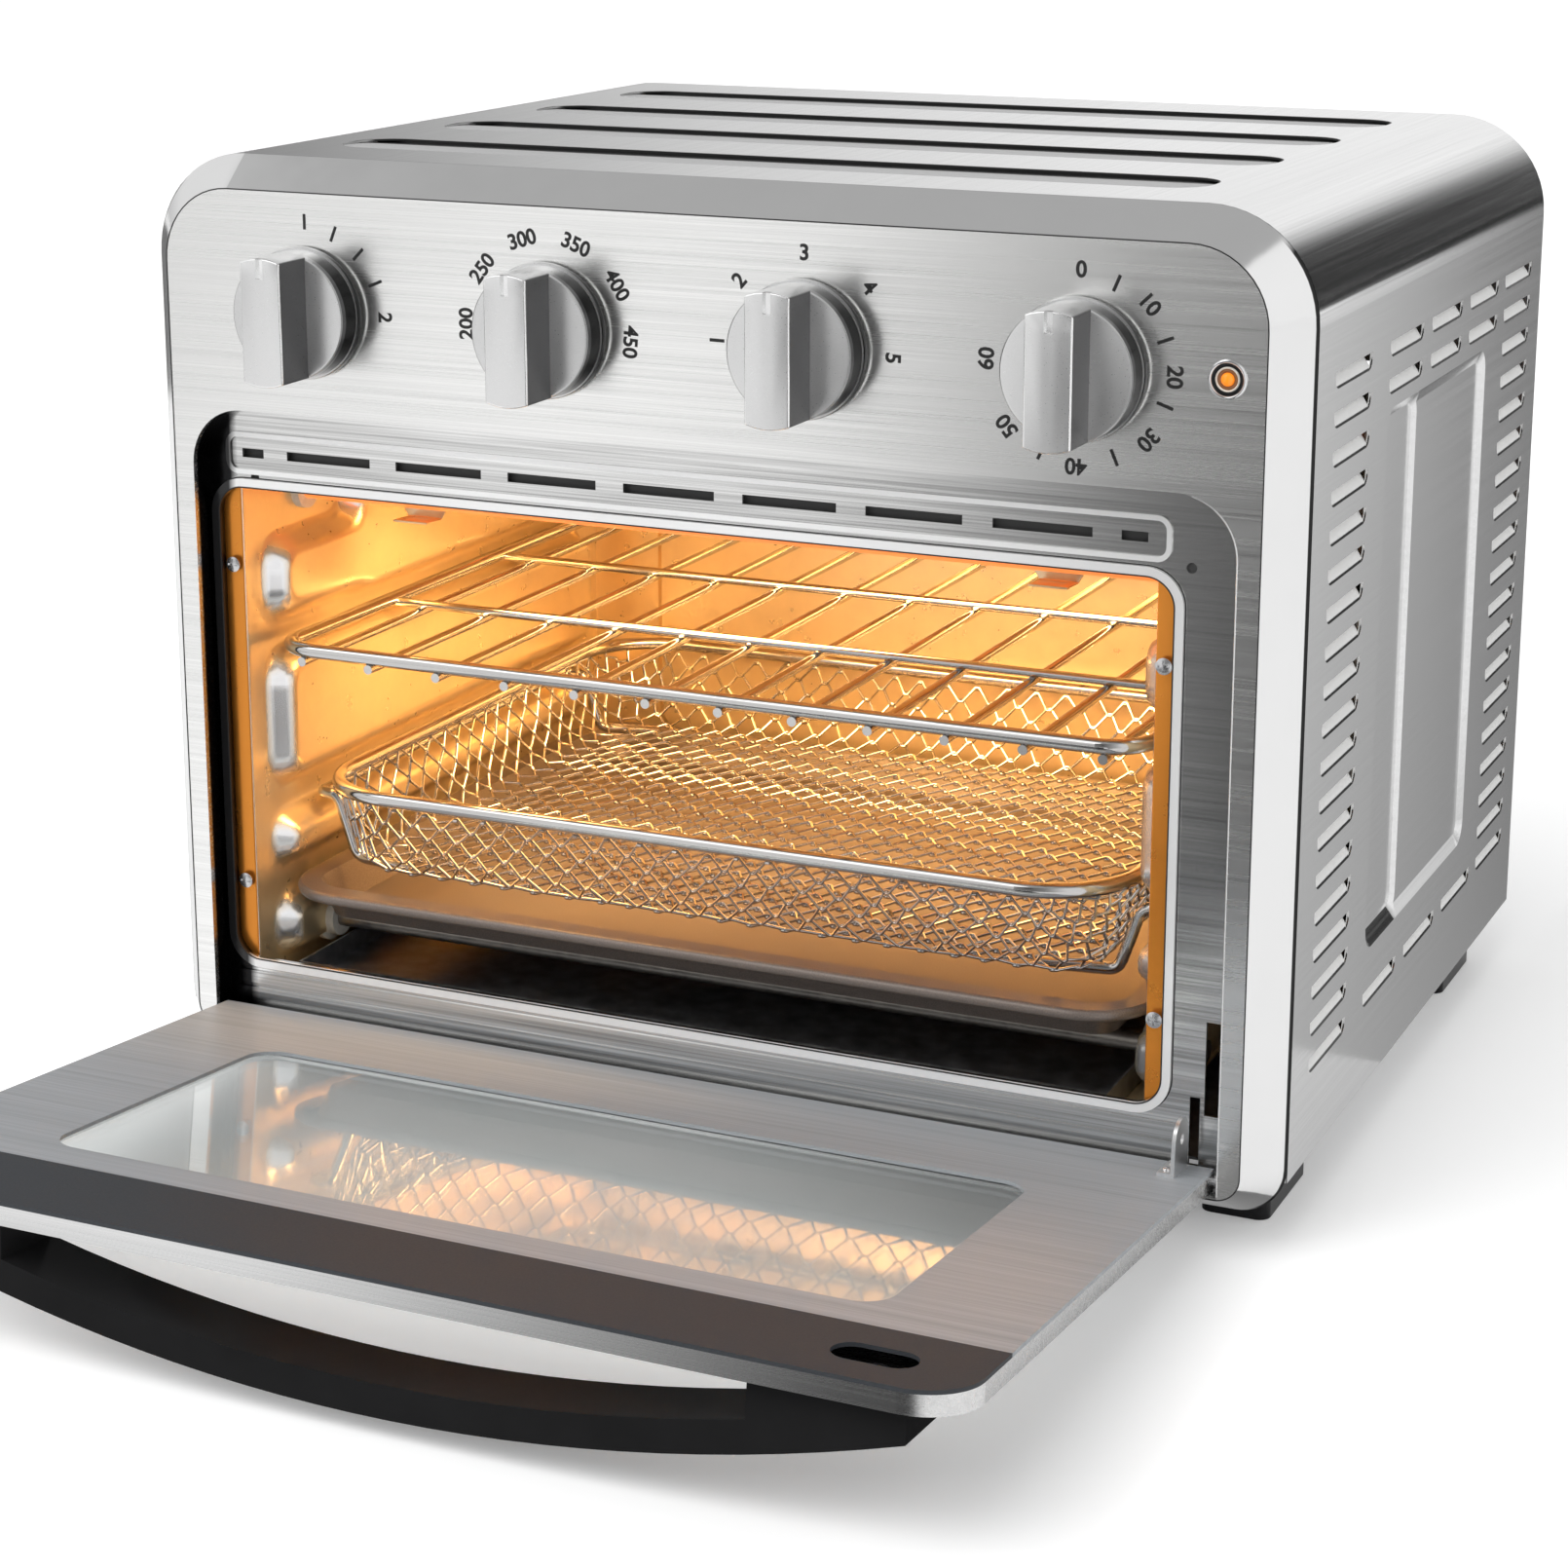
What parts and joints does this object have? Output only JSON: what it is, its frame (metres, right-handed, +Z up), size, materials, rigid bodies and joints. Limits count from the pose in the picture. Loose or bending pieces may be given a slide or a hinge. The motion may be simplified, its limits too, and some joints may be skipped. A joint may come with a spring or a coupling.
{
  "type": "air fryer toaster oven",
  "caption": "Brushed steel air fryer toaster oven with its drop-down glass door open, rotary dials, wire rack, mesh basket and trays.",
  "frame": {"origin": "centre of the overall box at rest, with the door open, on the surface it stands on", "axes": "+X to the right of someone facing the door, +Y from the door to the back, +Z up"},
  "size_m": [0.392, 0.5248, 0.316],
  "materials": {
    "steel": "brushed",
    "polished_steel": "satin",
    "galvanised": "dull",
    "cavity": "satin",
    "black_plastic": "matt",
    "gloss_black": "gloss",
    "knob": "satin",
    "chrome": "polished",
    "screw": "plated",
    "enamel": "satin",
    "dark_band": "matt",
    "glass": "clear",
    "seal": "matt",
    "element": "heat tinted",
    "ceramic": "glazed",
    "amber": "clear amber",
    "motor": "satin",
    "aluminium": "pressed",
    "unit": "matt",
    "lead": "sleeved"
  },
  "bodies": {
    "oven": {"outer_wrap": "steel", "front_ring": "polished_steel", "control_panel": "steel", "front_frame": "steel", "back_panel": "galvanised", "base_pan": "galvanised", "feet": "black_plastic", "foot_screws": "screw", "case_screws": "screw", "flange_screws": "screw", "rear_spacers": "black_plastic", "cord_gland": "black_plastic", "wiring_loom": "lead", "cavity_left_wall": "cavity", "cavity_right_wall": "cavity", "cavity_ceiling": "cavity", "cavity_floor": "cavity", "cavity_back_wall": "cavity", "upper_heaters": "element", "lower_heaters": "element", "heater_insulators": "ceramic", "thermostat_probe": "chrome", "fan_chamber": "galvanised", "fan_guard": "cavity", "fan_motor": "motor", "motor_bracket": "galvanised", "lamp_ring": "chrome", "lamp_lens": "amber", "hinge_pins": "screw", "hinge_brackets": "galvanised", "speed_unit": "unit", "temperature_unit": "unit", "function_unit": "unit", "timer_unit": "unit"},
    "door": {"door_shell": "steel", "door_inner_panel": "steel", "door_trim": "dark_band", "door_glass": "glass", "glass_seal": "seal", "door_handle": "gloss_black", "handle_screws": "screw", "hinge_ear": "chrome"},
    "rack": {"wire_rack": "chrome"},
    "basket": {"basket_rim": "chrome", "basket_mesh": "chrome", "basket_carriers": "chrome"},
    "tray": {"baking_tray": "enamel"},
    "crumb_drawer": {"crumb_tray": "galvanised"},
    "fan": {"fan_wheel": "aluminium", "cooling_fan": "aluminium", "motor_shaft": "screw"},
    "speed_dial": {"speed_knob": "knob", "speed_spindle": "screw"},
    "temperature_dial": {"temperature_knob": "knob", "temperature_spindle": "screw"},
    "function_dial": {"function_knob": "knob", "function_spindle": "screw"},
    "timer_dial": {"timer_knob": "knob", "timer_spindle": "screw"}
  },
  "joints": [
    {"name": "door_hinge", "type": "hinge", "parent": "oven", "child": "door", "pos_m": [0, -0.05456, 0.0235], "axis": [-1, 0, 0], "range_deg": [0, 84.5]},
    {"name": "rack_slide", "type": "slide", "parent": "oven", "child": "rack", "axis": [0, 1, 0], "range_m": [-0.2, 0]},
    {"name": "basket_slide", "type": "slide", "parent": "oven", "child": "basket", "axis": [0, 1, 0], "range_m": [-0.2, 0]},
    {"name": "tray_slide", "type": "slide", "parent": "oven", "child": "tray", "axis": [0, 1, 0], "range_m": [-0.2, 0]},
    {"name": "crumb_tray_slide", "type": "slide", "parent": "oven", "child": "crumb_drawer", "axis": [0, 1, 0], "range_m": [0, 0.25]},
    {"name": "speed_turn", "type": "hinge", "parent": "oven", "child": "speed_dial", "pos_m": [-0.132, -0.05756, 0.268], "axis": [0, 1, 0], "range_deg": [0, 90]},
    {"name": "temperature_turn", "type": "hinge", "parent": "oven", "child": "temperature_dial", "pos_m": [-0.045, -0.05756, 0.268], "axis": [0, 1, 0], "range_deg": [-90, 96]},
    {"name": "function_turn", "type": "hinge", "parent": "oven", "child": "function_dial", "pos_m": [0.042, -0.05756, 0.268], "axis": [0, 1, 0], "range_deg": [-90, 92]},
    {"name": "timer_turn", "type": "hinge", "parent": "oven", "child": "timer_dial", "pos_m": [0.129, -0.05756, 0.268], "axis": [0, 1, 0], "range_deg": [0, 275]},
    {"name": "fan_spin", "type": "hinge", "parent": "oven", "child": "fan", "pos_m": [-0.0085, 0.08244, 0.235], "axis": [0, 0, 1], "continuous": true}
  ]
}
